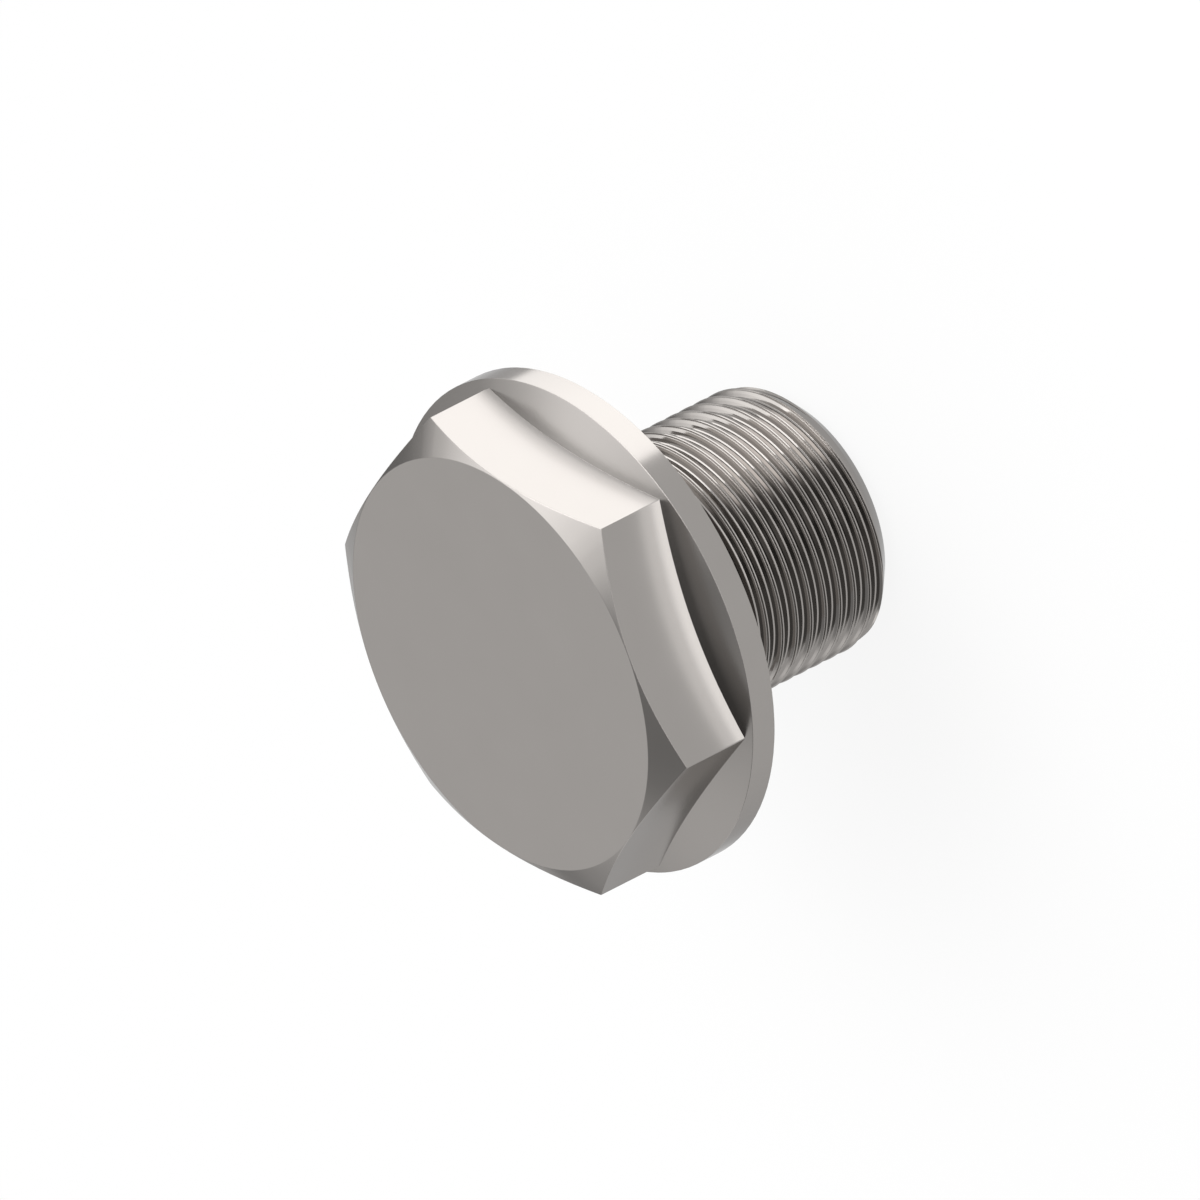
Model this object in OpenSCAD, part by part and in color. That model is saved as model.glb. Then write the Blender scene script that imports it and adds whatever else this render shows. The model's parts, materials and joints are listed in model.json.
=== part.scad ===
// Hexagon head drain plug with a sealing flange and a straight fine-threaded shank.
// One piece of steel, turned and then milled: hexagon, flange and threaded shank.
// It stands on its thread end with the head up. Z is its axis, Z = 0 is the thread end,
// one corner of the hexagon points along X and one flat faces along Y.
// The real plug is sized in inches; the sizes here are the same lengths in millimetres.

/* [Head] */
// Width across the flats of the hexagon, the spanner size: 1 15/16 inch
across_flats = 49.21; // [40:0.01:66]
// Height of the head from the sealing face of the flange to the top face: 9/16 inch
head_h = 14.29; // [10:0.01:24]
// Slope of the turned chamfer that rounds the hexagon's corners at the top face
head_chamfer_deg = 30; // [15:1:40]
// How far the edge of the round top face lies inside the flats
face_margin = 0.1; // [0.05:0.05:1.5]

/* [Flange] */
// How far the flange reaches past the corners of the hexagon, for 2 5/16 inch across it
flange_lip = 0.96; // [0.3:0.01:5]
// Thickness of the flange at its rim: 1/8 inch
rim_t = 3.18; // [1.5:0.01:6]
// Slope of the cone that rises from the rim to the flats
flange_slope_deg = 20; // [8:1:30]

/* [Shank] */
// Diameter over the thread's crests: 1 1/4 inch
thread_d = 31.75; // [24:0.01:35]
// Length of the shank from the sealing face to the thread end: 1 3/16 inch
shank_l = 30.16; // [18:0.01:60]
// Size of the chamfer on the thread end, the same along the axis and across it: 3/32 inch
tip_chamfer = 2.38; // [0.5:0.01:5]
// Width of the relief groove's floor, next to the sealing face
relief_w = 3; // [1:0.1:6]
// Depth of the relief groove below the thread's crests
relief_depth = 1.6; // [0.5:0.05:4]

/* [Hidden] */

// A hexagon's flat stands at its apothem and its corner at the apothem over cos 30
sides = 6;
apothem = across_flats / 2;
corner_r = apothem / cos(180 / sides);
face_r = apothem - face_margin;
flange_r = corner_r + flange_lip;
thread_r = thread_d / 2;
relief_r = thread_r - relief_depth;
tip_r = thread_r - tip_chamfer;

// The turned outlines run this far past the shape that they trim or join
overrun = 1;
round_fn = 96;

// Drop of the head's chamfer at radius r, below the top face
function chamfer_drop(r) = (r - face_r) * tan(head_chamfer_deg);

// Rise of the flange's cone at radius r, above the top edge of the rim
function cone_rise(r) = (flange_r - r) * tan(flange_slope_deg);

// Hexagon bar with its corners turned off by a shallow cone
module hexagon_head() {
    trim_r = corner_r + overrun;
    intersection() {
        cylinder(h = head_h, r = corner_r, $fn = sides);
        rotate_extrude($fn = round_fn)
            polygon([
                [0, 0],
                [trim_r, 0],
                [trim_r, head_h - chamfer_drop(trim_r)],
                [face_r, head_h],
                [0, head_h]
            ]);
    }
}

// Round flange with a straight rim and a cone that runs up into the flats
module sealing_flange() {
    core_r = apothem - overrun;
    rotate_extrude($fn = round_fn)
        polygon([
            [0, 0],
            [flange_r, 0],
            [flange_r, rim_t],
            [core_r, rim_t + cone_rise(core_r)],
            [0, rim_t + cone_rise(core_r)]
        ]);
}

// Shank at the size of the thread's crests, chamfered at the end and relieved at the seat
module shank() {
    relief_start = shank_l - relief_w;
    rotate_extrude($fn = round_fn)
        polygon([
            [0, 0],
            [tip_r, 0],
            [thread_r, tip_chamfer],
            [thread_r, relief_start - relief_depth],
            [relief_r, relief_start],
            [relief_r, shank_l + overrun],
            [0, shank_l + overrun]
        ]);
}

// The whole plug is one solid
module drain_plug() {
    color([0.70, 0.69, 0.67])
        union() {
            translate([0, 0, shank_l]) {
                hexagon_head();
                sealing_flange();
            }
            shank();
        }
}

drain_plug();
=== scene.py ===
# %% [markdown]
# A hex drain plug in satin steel
#
# The plug is one piece of steel: a hexagon head with a turned chamfer, a round sealing
# flange whose front rises as a shallow cone, and a long shank with a fine right-hand
# thread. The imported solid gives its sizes. This lesson builds the same form again as one
# closed skin of points worked out with numpy, because the finish depends on things that
# the plain solid leaves out: the thread itself, and the small rounding of each edge that
# catches the light on real metal.

import json
import math

import bpy
import numpy as np
from mathutils import Matrix, Vector


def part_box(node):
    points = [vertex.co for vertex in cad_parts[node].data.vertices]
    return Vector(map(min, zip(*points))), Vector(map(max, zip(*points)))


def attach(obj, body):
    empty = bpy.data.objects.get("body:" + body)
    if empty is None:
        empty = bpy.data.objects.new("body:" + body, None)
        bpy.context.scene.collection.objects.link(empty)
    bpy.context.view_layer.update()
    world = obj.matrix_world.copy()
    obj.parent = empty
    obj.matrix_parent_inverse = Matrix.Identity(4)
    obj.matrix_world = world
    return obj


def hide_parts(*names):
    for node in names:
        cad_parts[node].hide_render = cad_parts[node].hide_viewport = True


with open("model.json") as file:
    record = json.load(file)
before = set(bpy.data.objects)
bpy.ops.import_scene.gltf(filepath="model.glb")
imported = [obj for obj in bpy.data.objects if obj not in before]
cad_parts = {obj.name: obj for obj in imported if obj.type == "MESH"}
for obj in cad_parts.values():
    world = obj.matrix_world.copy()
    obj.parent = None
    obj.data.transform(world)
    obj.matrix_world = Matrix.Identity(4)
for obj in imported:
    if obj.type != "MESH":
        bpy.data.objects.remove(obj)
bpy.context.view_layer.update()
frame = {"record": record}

# %% [markdown]
# The sizes come from the frame where it states them: the mounts give the sealing face,
# the flats and the thread's crests, and the box gives the flange and the full height.
# What the frame doesn't state is named here in metres, with angles in degrees.

# %% Sizes
mounts = {mount["name"]: mount for mount in frame["record"]["mounts"]}
low, high = (np.array(corner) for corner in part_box("drain_plug"))

seat_z = mounts["seat"]["pos_m"][2]
apothem = mounts["spanner_flat"]["pos_m"][1]
crest_r = mounts["thread"]["dims"]["r_mm"] / 1000
top_z = high[2]
flange_r = (high[0] - low[0]) / 2

FACE_MARGIN = 0.0001
HEAD_CHAMFER_DEG = 30
RIM_T = 0.00318
FLANGE_SLOPE_DEG = 20
TIP_CHAMFER = 0.00238
RELIEF_W = 0.003
RELIEF_DEPTH = 0.0016

corner_r = apothem / math.cos(math.pi / 6)
print("across flats %.2f mm, corners %.2f mm, flange %.2f mm, height %.2f mm" % (
    2000 * apothem, 2000 * corner_r, 2000 * flange_r, 1000 * top_z))

# %% [markdown]
# The camera looks down on the head from the front, with parallel rays, and is rolled so
# that the upright plug lies across the picture. Three unit vectors say this best: where
# the picture's right, its up and the viewer are.

# %% Camera
FRAME_W = 0.13178
AIM_RIGHT = 0.010943
AIM_UP = 0.007038
CAMERA_DISTANCE = 0.6

view_right = np.array([0.6607, 0.0, -0.7506])
view_up = np.array([-0.4327, 0.8172, -0.3809])
to_viewer = np.cross(view_right, view_up)


def make_camera():
    """Parallel camera whose axes are the three unit vectors, aimed beside the face's centre"""
    data = bpy.data.cameras.new("camera")
    data.type = "ORTHO"
    data.ortho_scale = FRAME_W
    data.clip_start = 0.01
    data.clip_end = 10
    camera = bpy.data.objects.new("camera", data)
    aim = np.array([0, 0, top_z]) + AIM_RIGHT * view_right + AIM_UP * view_up
    pose = np.eye(4)
    pose[:3, 0], pose[:3, 1], pose[:3, 2] = view_right, view_up, to_viewer
    pose[:3, 3] = aim + CAMERA_DISTANCE * to_viewer
    camera.matrix_world = Matrix(pose.tolist())
    bpy.context.scene.collection.objects.link(camera)
    bpy.context.scene.camera = camera
    return camera


camera = make_camera()
print("camera looks down by %.1f degrees" % math.degrees(math.asin(to_viewer[2])))

# %% [markdown]
# The skin is a grid. One direction goes round the axis in columns, the other runs up the
# outline in rows, from the middle of the thread end to the middle of the face. The
# columns crowd together at the six corners, where a real milled edge has a small radius.

# %% Columns round the axis
CORNER_ROUND = 0.0002
NEAR_CORNER_DEG = np.array([0, 0.07, 0.14, 0.202, 0.26, 0.5, 0.95, 1.7])
MIDDLE_COLUMNS = 17


def column_angles():
    """Angles of one sector, from a corner to the next, repeated six times"""
    middle = np.linspace(2.8, 57.2, MIDDLE_COLUMNS)
    sector = np.concatenate([NEAR_CORNER_DEG, middle, 60 - NEAR_CORNER_DEG[:0:-1]])
    return np.radians(np.concatenate([sector + 60 * k for k in range(6)]))


def hexagon_radius(theta):
    """Distance from the axis to the hexagon: apothem over the cosine from the flat's middle,
    with each corner replaced by a circle that touches both flats"""
    from_corner = np.remainder(theta + math.pi / 6, math.pi / 3) - math.pi / 6
    flat = apothem / np.cos(math.pi / 6 - np.abs(from_corner))
    centre = (apothem - CORNER_ROUND) / math.cos(math.pi / 6)
    inside = np.maximum(CORNER_ROUND**2 - (centre * np.sin(from_corner))**2, 0)
    arc = centre * np.cos(from_corner) + np.sqrt(inside)
    touch = math.atan2(CORNER_ROUND / 2, centre + CORNER_ROUND * math.cos(math.pi / 6))
    return np.where(np.abs(from_corner) < touch, arc, flat)


theta = column_angles()
hex_r = hexagon_radius(theta)
print(len(theta), "columns, hexagon radius %.2f to %.2f mm" % (1000 * hex_r.min(), 1000 * hex_r.max()))

# %% [markdown]
# An outline is a chain of corner points, and each corner is softened by a short curve
# between the two sides that meet there. Every point is a whole ring of values, one for
# each column, so the curved edges where the cones meet the flats need no extra work.

# %% Rounded outline
EDGE_ROUND = 0.00005
CREASE_ROUND = 0.000015
ROUND_STEPS = 4


def softened(chain, rounds, spans, steps=ROUND_STEPS):
    """Rows along a chain of (radius, height) rings. At each inner corner a quadratic curve
    replaces the last stretch of both sides; its reach is at most 0.4 of a side. spans
    says how many even strips a side is cut into."""
    points = [np.stack(np.broadcast_arrays(r, z, theta)[:2]) for r, z in chain]
    rows = [points[0]]
    start = points[0]
    for k in range(1, len(points) - 1):
        corner = points[k]
        back, ahead = points[k - 1] - corner, points[k + 1] - corner
        back_len = np.hypot(*back)
        ahead_len = np.hypot(*ahead)
        reach = np.minimum(rounds[k], 0.4 * np.minimum(back_len, ahead_len))
        enter, leave = corner + back / back_len * reach, corner + ahead / ahead_len * reach
        rows += [start + (enter - start) * t for t in np.linspace(0, 1, spans[k - 1] + 1)[1:-1]]
        for t in np.linspace(0, 1, steps + 1):
            rows.append(enter * (1 - t)**2 + 2 * corner * t * (1 - t) + leave * t**2)
        start = leave
    rows += [start + (points[-1] - start) * t for t in np.linspace(0, 1, spans[-1] + 1)[1:]]
    return np.array(rows)


# %% [markdown]
# The head's outline starts where the thread ends, on the slope that leads into the relief
# groove. It goes on over the sealing face, the rim and the cone to the flat, then over the
# turned chamfer to the middle of the face. The two edges of the flat follow from the
# hexagon's radius: both cones meet it higher or lower as it swings between flat and
# corner, and that gives the arcs that every hexagon head has.

# %% Head outline
SEAT_FILLET = 0.0004
LAST_STRIP = 0.0001
POLE_R = 0.0004

face_r = apothem - FACE_MARGIN
relief_r = crest_r - RELIEF_DEPTH
groove_z = seat_z - RELIEF_W
thread_high = groove_z - LAST_STRIP
rim_z = seat_z + RIM_T


def cone_height(r):
    """Height of the flange's cone = rim + (flange radius - radius) x tan of its slope"""
    return rim_z + (flange_r - r) * math.tan(math.radians(FLANGE_SLOPE_DEG))


def chamfer_height(r):
    """Height of the head's chamfer = top - (radius - face radius) x tan of its slope"""
    return top_z - (r - face_r) * math.tan(math.radians(HEAD_CHAMFER_DEG))


def head_rows():
    """Rows from the groove's slope to the middle of the face"""
    chain = [
        (relief_r + groove_z - thread_high, thread_high),
        (relief_r, groove_z),
        (relief_r, seat_z),
        (flange_r, seat_z),
        (flange_r, rim_z),
        (hex_r, cone_height(hex_r)),
        (hex_r, chamfer_height(hex_r)),
        (face_r, top_z),
        (POLE_R, top_z),
    ]
    rounds = [
        0, EDGE_ROUND, SEAT_FILLET, EDGE_ROUND, EDGE_ROUND, CREASE_ROUND, EDGE_ROUND, EDGE_ROUND, 0]
    return softened(chain, rounds, spans=[1, 2, 4, 3, 5, 8, 4, 8])


head = head_rows()
print("head:", len(head), "rows")

# %% [markdown]
# The thread has two starts: two equal ridges run side by side, so the helix climbs two
# spacings in a turn. A ridge has a narrow crest with a fine groove beside it, then a steep
# flank towards the head that is steeper still at its foot, a narrow root, and a long slope
# on the other side. The two sides stand nearly square to each other, so light bounces
# twice between them. One spacing of that outline is a chain of corner points again,
# softened in the same way. The list gives the side towards the head: each pair is a share
# of the spacing, counted from the crest, and how far the surface has dropped there.

# %% Thread profile
SPACING = 0.0254 / 12
STARTS = 2
CREST_AT = 0.967
HEAD_SIDE = [(0.065, 0.00003), (0.085, 0.00016), (0.15, 0.0001), (0.18, 0.000115),
             (0.264, 0.000388), (0.345, 0.000715), (0.44, 0.00076)]
THREAD_ROUND = 0.000015
THREAD_STEPS = 2


def thread_profile():
    """Drop below the crest and climb along the axis, for the rows of one spacing. They are
    kept from a quarter of the spacing before the crest to three quarters after it"""
    root, depth = HEAD_SIDE[-1]
    chain = [(depth, (root - 1) * SPACING), (0.0, 0.0)]
    chain += [(drop, share * SPACING) for share, drop in HEAD_SIDE]
    chain += [(0.0, SPACING)]
    sides = len(chain) - 1
    rows = softened(chain, [THREAD_ROUND] * sides, [1] * (sides - 1) + [2], THREAD_STEPS)[:, :, 0]
    one = (rows[:, 1] >= -SPACING / 4) & (rows[:, 1] < 3 * SPACING / 4 - 1e-9)
    return rows[one, 0], rows[one, 1]


profile_drop, profile_climb = thread_profile()
print("spacing %.3f mm, depth %.3f mm, %d rows in each" % (
    1000 * SPACING, 1000 * profile_drop.max(), len(profile_drop)))

# %% [markdown]
# The rows follow the helix: a row climbs as it goes round, so the ridges lie along the
# grid and stay sharp. After one turn each row has climbed by two spacings, and joins the
# row that lies two spacings further up. The end chamfer and the relief groove cut across
# the thread. The skin takes whichever is nearer to the axis, with a small blend. Past
# both ends the thread is gone, so all rows that would run further are gathered in one
# ring there, which closes the skin. In the first column a crest lies at a stated share of a
# spacing above the thread end, which turns the thread to where the photo shows it.

# %% Thread grid
THREAD_LOW = 0.0009
BLEND = 0.00008

tip_r = crest_r - TIP_CHAMFER


def soft_min(a, b):
    """The smaller of two radii, with a blend where they cross"""
    return (a + b - np.sqrt((a - b)**2 + BLEND**2)) / 2


def shank_limit(z):
    """Radius that the end chamfer and the groove's slope leave at a height z"""
    return np.minimum(tip_r + z, relief_r + (groove_z - z))


def thread_grid():
    """Radius and height of every thread row in every column, and whether the row is past
    the low or the high end there: height = row's own height + spacing x starts x angle / turn"""
    ridges = int((thread_high - THREAD_LOW) / SPACING) + 2 + STARTS
    first = STARTS + 1 - CREST_AT
    own = ((np.arange(ridges)[:, None] - first) * SPACING + profile_climb).ravel()
    drop = np.tile(profile_drop, ridges)
    z = own[:, None] + STARTS * SPACING * theta / (2 * math.pi)
    below, above = z <= THREAD_LOW, z >= thread_high
    z = np.clip(z, THREAD_LOW, thread_high)
    r = soft_min(crest_r - drop[:, None], shank_limit(z))
    r = np.where(below | above, shank_limit(z), r)
    return r, z, below, above


thread_r, thread_z, below, above = thread_grid()
print("thread: %d rows, %d below and %d above the thread in the first column" % (
    len(thread_r), below[:, 0].sum(), above[:, 0].sum()))

# %% [markdown]
# The thread end is flat, and a chamfer runs from it to the crests. The skin's lowest rows
# cover the flat and the foot of that chamfer, below the place where the thread begins.

# %% Tip outline
TIP_ROUND = 0.0003


def tip_rows():
    """Flat thread end and the lower part of its chamfer, up to where the thread begins"""
    chain = [(POLE_R, 0.0), (tip_r, 0.0), (tip_r + THREAD_LOW, THREAD_LOW)]
    return softened(chain, [0, TIP_ROUND, 0], spans=[6, 2])


tip = tip_rows()
print("tip:", len(tip), "rows")

# %% [markdown]
# The pieces of outline become one mesh. Rows of the tip and the head are plain rings. The
# thread's rows are numbered so that a row past its end shares the ring's own points, and
# faces that shrink to nothing are left out. Two points close the middles.

# %% One closed skin
columns = len(theta)


def ring_faces(lower, upper, lower_next=None, upper_next=None):
    """Quads between two rows of point numbers, joined round to the first column"""
    a, d = lower, upper
    b = np.roll(lower, -1, axis=-1) if lower_next is None else lower_next
    c = np.roll(upper, -1, axis=-1) if upper_next is None else upper_next
    return np.stack([a, b, c, d], axis=-1).reshape(-1, 4)


def in_space(r, z):
    """Points from a radius and a height in every column: x = r cos, y = r sin"""
    return np.stack([r * np.cos(theta), r * np.sin(theta), z], axis=-1)


def build_skin():
    """All points, the quads between the rows, and the triangles round both middles"""
    tip_points = in_space(tip[:, 0], tip[:, 1])
    head_points = in_space(head[:, 0], head[:, 1])
    thread_points = in_space(thread_r, thread_z)
    tip_ids = np.arange(tip.shape[0] * columns).reshape(-1, columns)
    head_ids = tip_ids.size + np.arange(head.shape[0] * columns).reshape(-1, columns)
    inner = ~(below | above)
    thread_ids = np.where(below, tip_ids[-1], head_ids[0])
    thread_ids[inner] = tip_ids.size + head_ids.size + np.arange(inner.sum())
    points = np.concatenate([
        tip_points.reshape(-1, 3), head_points.reshape(-1, 3), thread_points[inner]])

    shift = STARTS * len(profile_drop)
    wrapped = np.concatenate([thread_ids[shift:, :1], np.full((shift, 1), head_ids[0, 0])])
    beside = np.concatenate([thread_ids[:, 1:], wrapped], axis=1)
    quads = np.concatenate([
        ring_faces(tip_ids[:-1], tip_ids[1:]),
        ring_faces(thread_ids[:-1], thread_ids[1:], beside[:-1], beside[1:]),
        ring_faces(head_ids[:-1], head_ids[1:]),
    ])
    poles = len(points) + np.arange(2)
    points = np.concatenate([points, [[0, 0, 0], [0, 0, top_z]]])
    first, last = tip_ids[0], head_ids[-1]
    fans = [np.stack([np.full(columns, poles[0]), np.roll(first, -1), first], axis=-1),
            np.stack([np.full(columns, poles[1]), last, np.roll(last, -1)], axis=-1)]
    return points, quads, np.concatenate(fans)


def drop_collapsed(quads):
    """Splits quads into whole ones and triangles with one side gone; the rest is dropped"""
    same = quads == np.roll(quads, -1, axis=1)
    count = same.sum(axis=1)
    crossed = (quads[:, 0] == quads[:, 2]) | (quads[:, 1] == quads[:, 3])
    whole = quads[(count == 0) & ~crossed]
    single = (count == 1) & ~crossed
    keep = ~same[single]
    return whole, quads[single][keep].reshape(-1, 3)


points, quads, fans = build_skin()
quads, slivers = drop_collapsed(quads)
triangles = np.concatenate([slivers, fans])
print("skin: %d points, %d quads, %d triangles" % (len(points), len(quads), len(triangles)))

# %% [markdown]
# Each point gets its own normal. Large faces count most in it, so that flats stay flat and
# the narrow rounds carry all of the turn, as a fine radius does on real metal.

# %% Mesh and normals


def area_normals(points, quads, triangles):
    """Normal of each point: the sum of its faces' area vectors, made one unit long"""
    total = np.zeros_like(points)
    for faces in (quads, triangles):
        a, b, c, d = (points[faces[:, k]] for k in (0, 1, 2, -1))
        area = np.cross(c - a, d - b) if faces.shape[1] == 4 else np.cross(b - a, c - a)
        for k in range(faces.shape[1]):
            np.add.at(total, faces[:, k], area)
    return total / np.linalg.norm(total, axis=1)[:, None]


def make_mesh(name, points, quads, triangles):
    """Mesh from arrays, smooth shaded"""
    mesh = bpy.data.meshes.new(name)
    mesh.from_pydata(points.tolist(), [], quads.tolist() + triangles.tolist())
    mesh.shade_smooth()
    piece = bpy.data.objects.new(name, mesh)
    bpy.context.scene.collection.objects.link(piece)
    return piece


plug = make_mesh("plug", points, quads, triangles)
normals = area_normals(points, quads, triangles)
print("mesh:", plug.name, "with", len(normals), "normals")

# %% [markdown]
# The photo's flats grow brighter or darker towards the flange, as if they rolled outwards
# there, but their outlines stay straight. So the points keep their places, and only their
# normals lean.

# %% Soft roll of the flats
ROLL_DEG = 15.5
ROLL_SHARE = 0.82
ROLL_POWER = 1.25
UPRIGHT = 0.02


def rolled_normals(places, normals):
    """The same normals, but on a flat they lean towards the head's face by the roll angle
    times a power of how far down the rolled part of the flat the point lies"""
    x, y, z = places.T
    hexagon = hexagon_radius(np.arctan2(y, x))
    crease_z, shoulder_z = cone_height(hexagon), chamfer_height(hexagon)
    down = (shoulder_z - z) / (shoulder_z - crease_z)
    on_flat = (np.abs(normals[:, 2]) < UPRIGHT) & (z > crease_z) & (z < shoulder_z)
    rolled = np.clip((down - 1 + ROLL_SHARE) / ROLL_SHARE, 0, 1)**ROLL_POWER
    lean = np.radians(ROLL_DEG) * rolled * on_flat
    upright = normals * [1, 1, 0] * np.cos(lean)[:, None]
    return upright + [0, 0, 1] * (normals[:, 2] + np.sin(lean))[:, None]


normals = rolled_normals(points, normals)
plug.data.normals_split_custom_set_from_vertices(normals.tolist())
plug.data.calc_loop_triangles()
print("plug:", len(plug.data.vertices), "points,", len(plug.data.loop_triangles), "triangles")

# %% [markdown]
# Shader maths reads best as plain expressions. A small class wraps a socket, so that
# adding or multiplying two of them puts the right Math node into the tree.

# %% Node helpers


def put(tree, kind, settings=None, inputs=None, out=0):
    """Adds one node: its settings first, then the values or links of its sockets"""
    node = tree.nodes.new(kind)
    for key, value in (settings or {}).items():
        setattr(node, key, value)
    for key, value in (inputs or {}).items():
        if isinstance(value, Wire):
            tree.links.new(value.socket, node.inputs[key])
        else:
            node.inputs[key].default_value = value
    return Wire(tree, node.outputs[out])


class Wire:
    """A socket that does arithmetic by adding Math nodes"""

    def __init__(self, tree, socket):
        self.tree, self.socket = tree, socket

    def maths(self, operation, *values):
        """One Math node with the given values or wires"""
        return put(self.tree, "ShaderNodeMath", {"operation": operation}, dict(enumerate(values)))

    def __add__(self, other):
        return self.maths("ADD", self, other)

    def __sub__(self, other):
        return self.maths("SUBTRACT", self, other)

    def __rsub__(self, other):
        return self.maths("SUBTRACT", other, self)

    def __mul__(self, other):
        return self.maths("MULTIPLY", self, other)

    def __truediv__(self, other):
        return self.maths("DIVIDE", self, other)

    def __rtruediv__(self, other):
        return self.maths("DIVIDE", other, self)

    __radd__ = __add__
    __rmul__ = __mul__

    def root(self):
        """Square root"""
        return self.maths("SQRT", self)

    def clamped(self):
        """The value held between 0 and 1"""
        return put(self.tree, "ShaderNodeClamp", None, {0: self})


def new_material(name):
    """Material with an empty node tree and its output node"""
    material = bpy.data.materials.new(name)
    material.use_nodes = True
    tree = material.node_tree
    tree.nodes.clear()
    return material, tree, tree.nodes.new("ShaderNodeOutputMaterial")


# %% [markdown]
# Satin steel is a metal with a low roughness and a slightly warm grey. A cloud changes
# its tone and its roughness a little from place to place. Turning leaves fine rings, so
# a second noise depends only on the distance from the axis and on the height. A very
# fine grain tilts the surface and breaks up the reflections. The shank is cut finer than
# the head, so its roughness is lower.

# %% Steel
STEEL_LIGHT = (0.328, 0.311, 0.297)
STEEL_DARK = (0.314, 0.297, 0.283)
EDGE_TINT = 0.62
SHANK_ROUGHNESS = 0.06
HEAD_ROUGHNESS = 0.15
CLOUD_SCALE = 160
GRAIN_SCALE = 5000
RING_SCALE = 4000


def steel_material():
    """Metal: roughness = shank's or head's own + part of the cloud + part of the rings;
    height of the bump = grain + rings"""
    material, tree, output = new_material("satin_steel")
    place = put(tree, "ShaderNodeTexCoord", out="Object")
    cloud = put(tree, "ShaderNodeTexNoise", None, {
        "Vector": place, "Scale": CLOUD_SCALE, "Detail": 3.0}, out="Fac")
    grain = put(tree, "ShaderNodeTexNoise", None, {
        "Vector": place, "Scale": GRAIN_SCALE, "Detail": 2.0}, out="Fac")
    x = put(tree, "ShaderNodeSeparateXYZ", None, {0: place}, out="X")
    y, z = (Wire(tree, x.socket.node.outputs[axis]) for axis in "YZ")
    from_axis = (x * x + y * y).root()
    turned = put(tree, "ShaderNodeCombineXYZ", None, {"X": from_axis, "Y": z})
    rings = put(tree, "ShaderNodeTexNoise", None, {
        "Vector": turned, "Scale": RING_SCALE, "Detail": 1.0}, out="Fac")
    tone = put(tree, "ShaderNodeMix", {"data_type": "RGBA"}, {
        "Factor": cloud, 6: (*STEEL_DARK, 1), 7: (*STEEL_LIGHT, 1)}, out=2)
    own = put(tree, "ShaderNodeMapRange", {"interpolation_type": "SMOOTHSTEP"}, {
        "Value": z, "From Min": groove_z, "From Max": seat_z,
        "To Min": SHANK_ROUGHNESS, "To Max": HEAD_ROUGHNESS})
    bump = put(tree, "ShaderNodeBump", None, {
        "Strength": 0.06, "Distance": 0.00002, "Height": grain + rings * 0.5})
    surface = put(tree, "ShaderNodeBsdfPrincipled", None, {
        "Base Color": tone, "Metallic": 1.0, "Normal": bump,
        "Specular Tint": (EDGE_TINT, EDGE_TINT, EDGE_TINT, 1),
        "Roughness": own + cloud * 0.03 + rings * 0.02})
    tree.links.new(surface.socket, output.inputs["Surface"])
    return material


plug.data.materials.append(steel_material())
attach(plug, "root")
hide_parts("drain_plug")
print("steel on", plug.name)

# %% [markdown]
# The light is a soft studio sky: a dim dome with a few soft boxes in it. Each box is a
# round patch of the sky with a soft edge, and the largest stands behind the plug as a
# bright wall would. One of them takes light away: it is a dark card on the camera's side,
# and the thread's flanks turn dark where they see it. One table drives both the sky's nodes
# and a sum that says how much light reaches the floor.

# %% Soft boxes
SKY_BASE = 0.36
HORIZON_Z = (-0.002, -0.02)
SOFT_BOXES = {  # middle, full within, gone beyond (degrees), strength
    "wall": ((-0.500, 0.600, 0.620), 22, 57, 1.95),
    "fill": ((-0.50, -0.64, 0.58), 10, 40, 0.69),
    "front": ((0.07, -0.96, 0.25), 4, 18, 1.30),
    "ceiling": ((0.42, 0.20, 0.885), 5, 30, 0.80),
    "high": ((-0.50, -0.12, 0.86), 5, 20, 0.40),
    "back": ((0.011, 0.643, 0.766), 5, 20.5, 3.80),
    "back_left": ((-0.353, 0.537, 0.766), 5, 19, 3.80),
    "near": ((0.80, 0.58, 0.16), 4, 16, 0.90),
    "dark_card": ((0.741, 0.394, 0.545), 10, 32, -0.25),
}


def make_sky():
    """World whose strength is the base plus each box's own strength times a smooth step of
    the cosine between the ray and the box's middle. Below the horizon it is plain white"""
    world = bpy.data.worlds.new("studio")
    bpy.context.scene.world = world
    world.use_nodes = True
    tree = world.node_tree
    tree.nodes.clear()
    ray = put(tree, "ShaderNodeTexCoord", out="Generated")
    total = None
    for centre, inner, outer, strength in SOFT_BOXES.values():
        unit = np.array(centre) / np.linalg.norm(centre)
        cosine = put(tree, "ShaderNodeVectorMath", {"operation": "DOT_PRODUCT"}, {
            0: ray, 1: unit.tolist()}, out="Value")
        patch = put(tree, "ShaderNodeMapRange", {"interpolation_type": "SMOOTHSTEP"}, {
            "Value": cosine, "From Min": math.cos(math.radians(outer)),
            "From Max": math.cos(math.radians(inner)), "To Min": 0.0, "To Max": strength})
        total = patch + SKY_BASE if total is None else total + patch
    z = put(tree, "ShaderNodeSeparateXYZ", None, {0: ray}, out="Z")
    under = put(tree, "ShaderNodeMapRange", None, {
        "Value": z, "From Min": HORIZON_Z[0], "From Max": HORIZON_Z[1]})
    total = total + under * (1.0 - total)
    background = put(tree, "ShaderNodeBackground", None, {"Color": (1, 1, 1, 1), "Strength": total})
    output = tree.nodes.new("ShaderNodeOutputWorld")
    tree.links.new(background.socket, output.inputs["Surface"])


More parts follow.
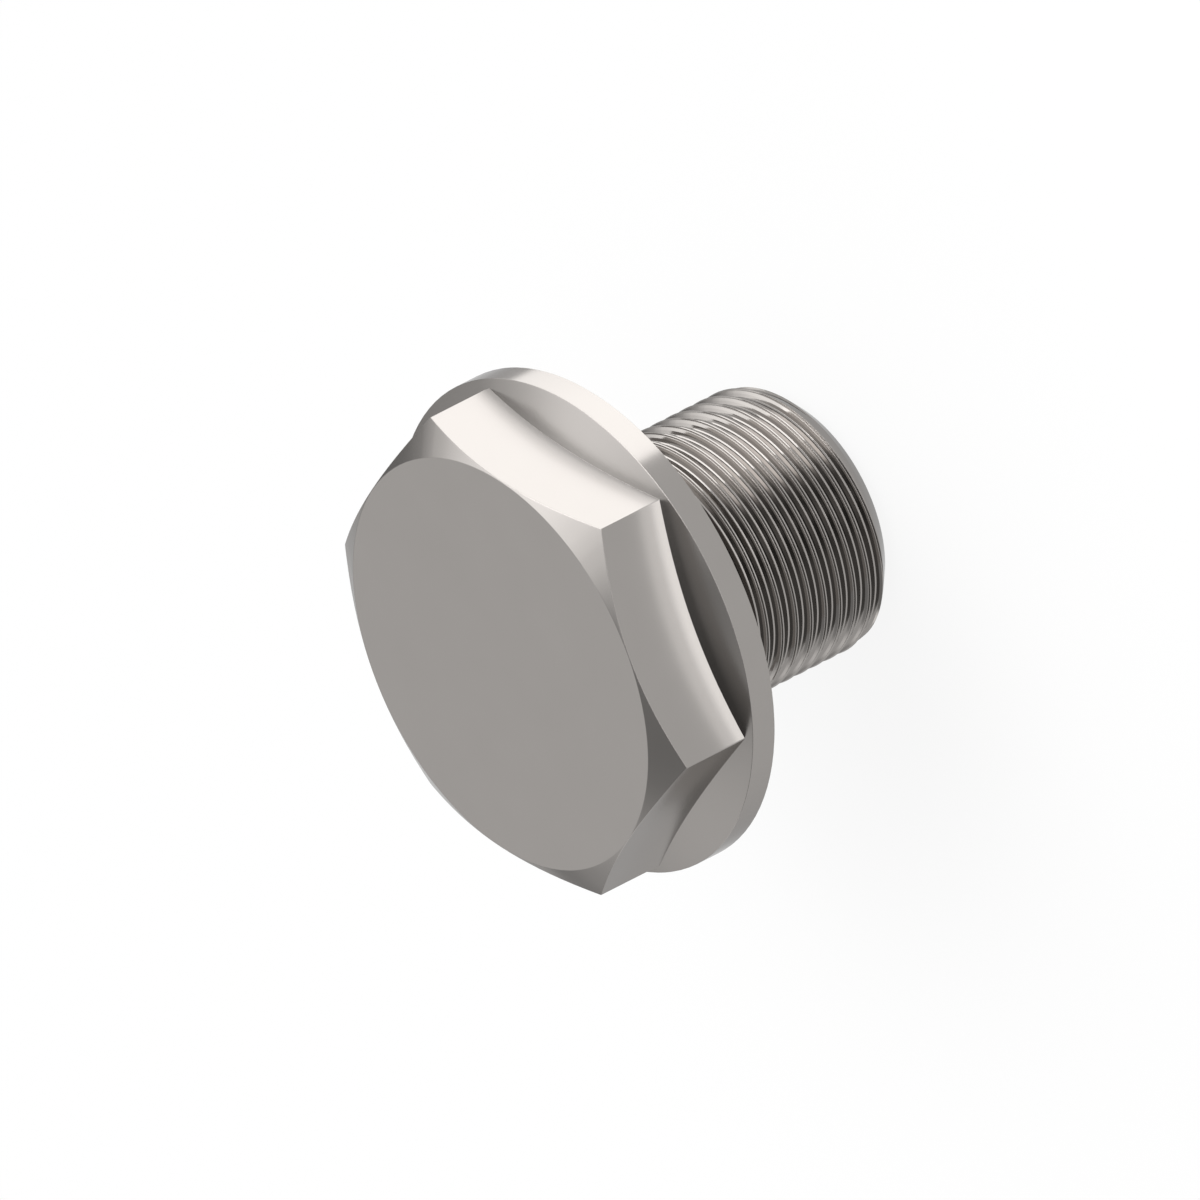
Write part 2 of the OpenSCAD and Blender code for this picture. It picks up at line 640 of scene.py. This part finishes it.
def floor_light():
    """Mean light that the sky sends to the floor, weighted by the cosine from straight up"""
    steps, turns = 60, 120
    up, round_axis = np.meshgrid(
        (np.arange(steps) + 0.5) / steps, (np.arange(turns) + 0.5) * 2 * math.pi / turns)
    flat = np.sqrt(1 - up**2)
    ray = np.stack([flat * np.cos(round_axis), flat * np.sin(round_axis), up])
    light = np.full(up.shape, SKY_BASE)
    for centre, inner, outer, strength in SOFT_BOXES.values():
        unit = np.array(centre) / np.linalg.norm(centre)
        edge, full = math.cos(math.radians(outer)), math.cos(math.radians(inner))
        t = np.clip((np.tensordot(unit, ray, 1) - edge) / (full - edge), 0, 1)
        light += strength * t * t * (3 - 2 * t)
    return float((light * up).sum() / up.sum())


make_sky()
print("light on the floor %.2f" % floor_light())

# %% [markdown]
# The floor is plain and pale. The sky lights it evenly, so only the plug's own soft shadow
# shows on it. The photo's ground is plain white, so that shadow is kept faint: a glow makes
# up most of the white.

# %% Floor
FLOOR_SIZE = 6.0
FLOOR_SHARE = 0.11


def make_floor():
    """Pale floor. For the camera and for reflections it is white less the plug's own shadow:
    a dull part that takes the sky's light, and a glow that makes up the rest"""
    corners = np.array([(-1, -1, 0), (1, -1, 0), (1, 1, 0), (-1, 1, 0)]) * FLOOR_SIZE / 2
    mesh = bpy.data.meshes.new("floor")
    mesh.from_pydata(corners.tolist(), [], [(0, 1, 2, 3)])
    floor = bpy.data.objects.new("floor", mesh)
    bpy.context.scene.collection.objects.link(floor)
    material, tree, output = new_material("pale_floor")
    camera_ray = put(tree, "ShaderNodeLightPath", out="Is Camera Ray")
    kinds = camera_ray.socket.node.outputs
    glossy_ray, clear_ray = Wire(tree, kinds["Is Glossy Ray"]), Wire(tree, kinds["Is Transmission Ray"])
    seen = camera_ray + glossy_ray + clear_ray
    shade = FLOOR_SHARE / floor_light()
    dull = put(tree, "ShaderNodeBsdfDiffuse", None, {"Color": (shade, shade, shade, 1)})
    glow = put(tree, "ShaderNodeEmission", None, {"Color": (1, 1, 1, 1), "Strength": 1 - FLOOR_SHARE})
    white = put(tree, "ShaderNodeAddShader", None, {0: dull, 1: glow})
    plain = put(tree, "ShaderNodeBsdfDiffuse", None, {"Color": (0.8, 0.8, 0.8, 1)})
    mixed = put(tree, "ShaderNodeMixShader", None, {0: seen.clamped(), 1: plain, 2: white})
    tree.links.new(mixed.socket, output.inputs["Surface"])
    mesh.materials.append(material)
    return floor


floor = make_floor()
print("floor %.1f m wide, %.0f%% of its white is lit" % (FLOOR_SIZE, 100 * FLOOR_SHARE))

# %% [markdown]
# Four lamps lie below the horizon of that sky, where the dome can't reach: two panels on
# the table behind the plug, one beside it, and a low strip that stands at its edge. A row
# gives the place, the two sides, the direction that it faces, a turn and the brightness.

# %% Panels
PANELS = {  # place, sides, facing, turn in degrees, radiance
    "table_panel": ((-0.0495, 0.070, 0.0015), (0.111, 0.084), (0, 0, 1), 0, 2.05),
    "far_panel": ((-0.0495, 0.167, 0.0015), (0.111, 0.110), (0, 0, 1), 0, 1.1),
    "side_panel": ((0.126, 0.098, 0.0015), (0.240, 0.060), (0, 0, 1), -52, 0.6),
    "side_strip": ((0.158, 0.122, 0.032), (0.240, 0.052), (-0.79, -0.61, 0), 0, 1.5),
}


def make_panel(name, place, size, facing, turn, radiance):
    """Rectangular lamp that faces a direction and is turned about the vertical by some
    degrees: power = radiance x area x pi. The camera doesn't see it"""
    data = bpy.data.lights.new(name, "AREA")
    data.shape = "RECTANGLE"
    data.size, data.size_y = size
    data.energy = radiance * size[0] * size[1] * math.pi
    lamp = bpy.data.objects.new(name, data)
    lamp.location = place
    lamp.rotation_euler = Vector(facing).to_track_quat("-Z", "Y").to_euler()
    lamp.rotation_euler.z += math.radians(turn)
    lamp.visible_camera = False
    bpy.context.scene.collection.objects.link(lamp)


for name, panel in PANELS.items():
    make_panel(name, *panel)
print("panels:", ", ".join(PANELS))

# %% [markdown]
# The picture shows the light as it is, with no film curve laid over it.

# %% View
bpy.context.scene.view_settings.view_transform = "Standard"
